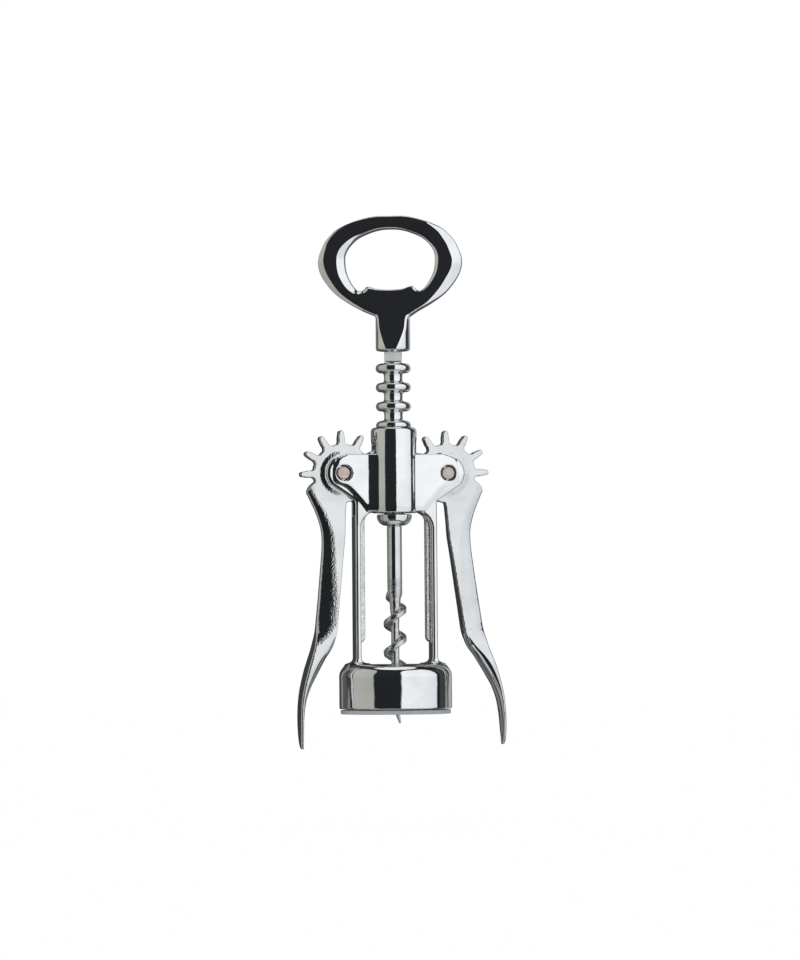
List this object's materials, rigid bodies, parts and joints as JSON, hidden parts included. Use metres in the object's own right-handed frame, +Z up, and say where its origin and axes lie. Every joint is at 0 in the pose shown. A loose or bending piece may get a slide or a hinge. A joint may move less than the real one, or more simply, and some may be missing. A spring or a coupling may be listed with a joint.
{
  "type": "wing corkscrew",
  "caption": "Chromed wing corkscrew with toothed levers that lift a ringed rack, a worm in an open frame, and an oval handle that is also a cap lifter.",
  "frame": {"origin": "on the worm's axis, level with the face of the plastic insert that seats on the bottle's lip", "axes": "+Z up the worm's axis from the bottle to the handle, -Y the side that faces the viewer, +X to the viewer's right, towards lever_right"},
  "size_m": [0.0699, 0.0376, 0.1773],
  "materials": {
    "chrome_casting": "bright plating over a casting, with slight waviness",
    "chrome_handle": "bright plating",
    "chrome_rack": "bright plating over turned steel",
    "chrome_lever": "bright plating over a casting, speckled on the arms' sides",
    "plated_worm": "thin plating, duller and rougher on the flight",
    "bare_rivet": "unplated, speckled ends",
    "pale_plastic": "smooth satin grey",
    "nylon": "pale and slightly see-through"
  },
  "bodies": {
    "frame": {"frame": "chrome_casting", "bell_insert": "pale_plastic", "pivot_pin_left": "bare_rivet", "pivot_pin_right": "bare_rivet"},
    "rack": {"rack_sleeve": "chrome_rack", "handle_bush": "nylon"},
    "spindle": {"worm": "plated_worm", "handle": "chrome_handle"},
    "lever_left": {"lever_left": "chrome_lever"},
    "lever_right": {"lever_right": "chrome_lever"}
  },
  "joints": [
    {"name": "rack_slide", "type": "slide", "parent": "frame", "child": "rack", "axis": [0, 0, -1], "range_m": [0, 0.03187]},
    {"name": "handle_spin", "type": "hinge", "parent": "rack", "child": "spindle", "pos_m": [0, 0, 0.1], "axis": [0, 0, 1], "continuous": true},
    {"name": "lever_left_swing", "type": "hinge", "parent": "frame", "child": "lever_left", "pos_m": [-0.01775, 0, 0.0681], "axis": [0, 1, 0], "range_deg": [0, 150]},
    {"name": "lever_right_swing", "type": "hinge", "parent": "frame", "child": "lever_right", "pos_m": [0.01775, 0, 0.0681], "axis": [0, -1, 0], "range_deg": [0, 150]}
  ],
  "couplings": [
    {"joint": "lever_left_swing", "follows": "rack_slide", "rad_per_m": 82.12},
    {"joint": "lever_right_swing", "follows": "rack_slide", "rad_per_m": 82.12}
  ]
}
